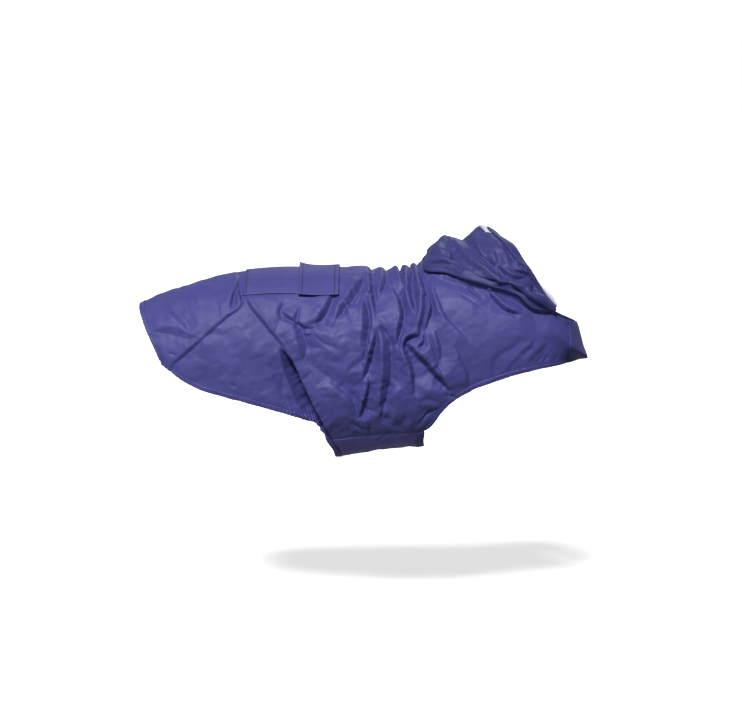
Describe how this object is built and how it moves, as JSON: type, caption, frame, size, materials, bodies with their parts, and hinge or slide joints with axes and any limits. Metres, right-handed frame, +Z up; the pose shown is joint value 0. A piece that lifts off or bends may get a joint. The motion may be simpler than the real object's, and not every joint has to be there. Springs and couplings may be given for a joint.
{
  "type": "dog raincoat",
  "caption": "Blue nylon dog raincoat in its worn form, with a turned-down mesh-lined hood, a spine pocket with a flap and a belly panel, open at neck, legs and tail.",
  "frame": {"origin": "in the cloth over the withers, on the middle line, where the coat rests on the wearer", "axes": "+X towards the wearer's head, +Y to the wearer's left, +Z up"},
  "size_m": [0.7167, 0.256, 0.3665],
  "materials": {
    "nylon": "thin coated nylon with a soft sheen",
    "nylon_edge": "doubled coated nylon, topstitched",
    "mesh_lining": "matt knitted mesh",
    "reflective_tape": "glossy woven tape"
  },
  "bodies": {
    "root": {"main_panel": "nylon", "belly_panel": "nylon", "front_overlap": "nylon", "hood": "nylon", "hood_casing": "nylon_edge", "hood_lining": "mesh_lining", "reflective_strip": "reflective_tape", "pocket": "nylon", "pocket_flap": "nylon_edge", "rear_hem": "nylon_edge", "chest_hem_right": "nylon_edge", "chest_hem_left": "nylon_edge", "belly_hem_rear": "nylon_edge", "belly_hem_front": "nylon_edge"}
  },
  "joints": []
}
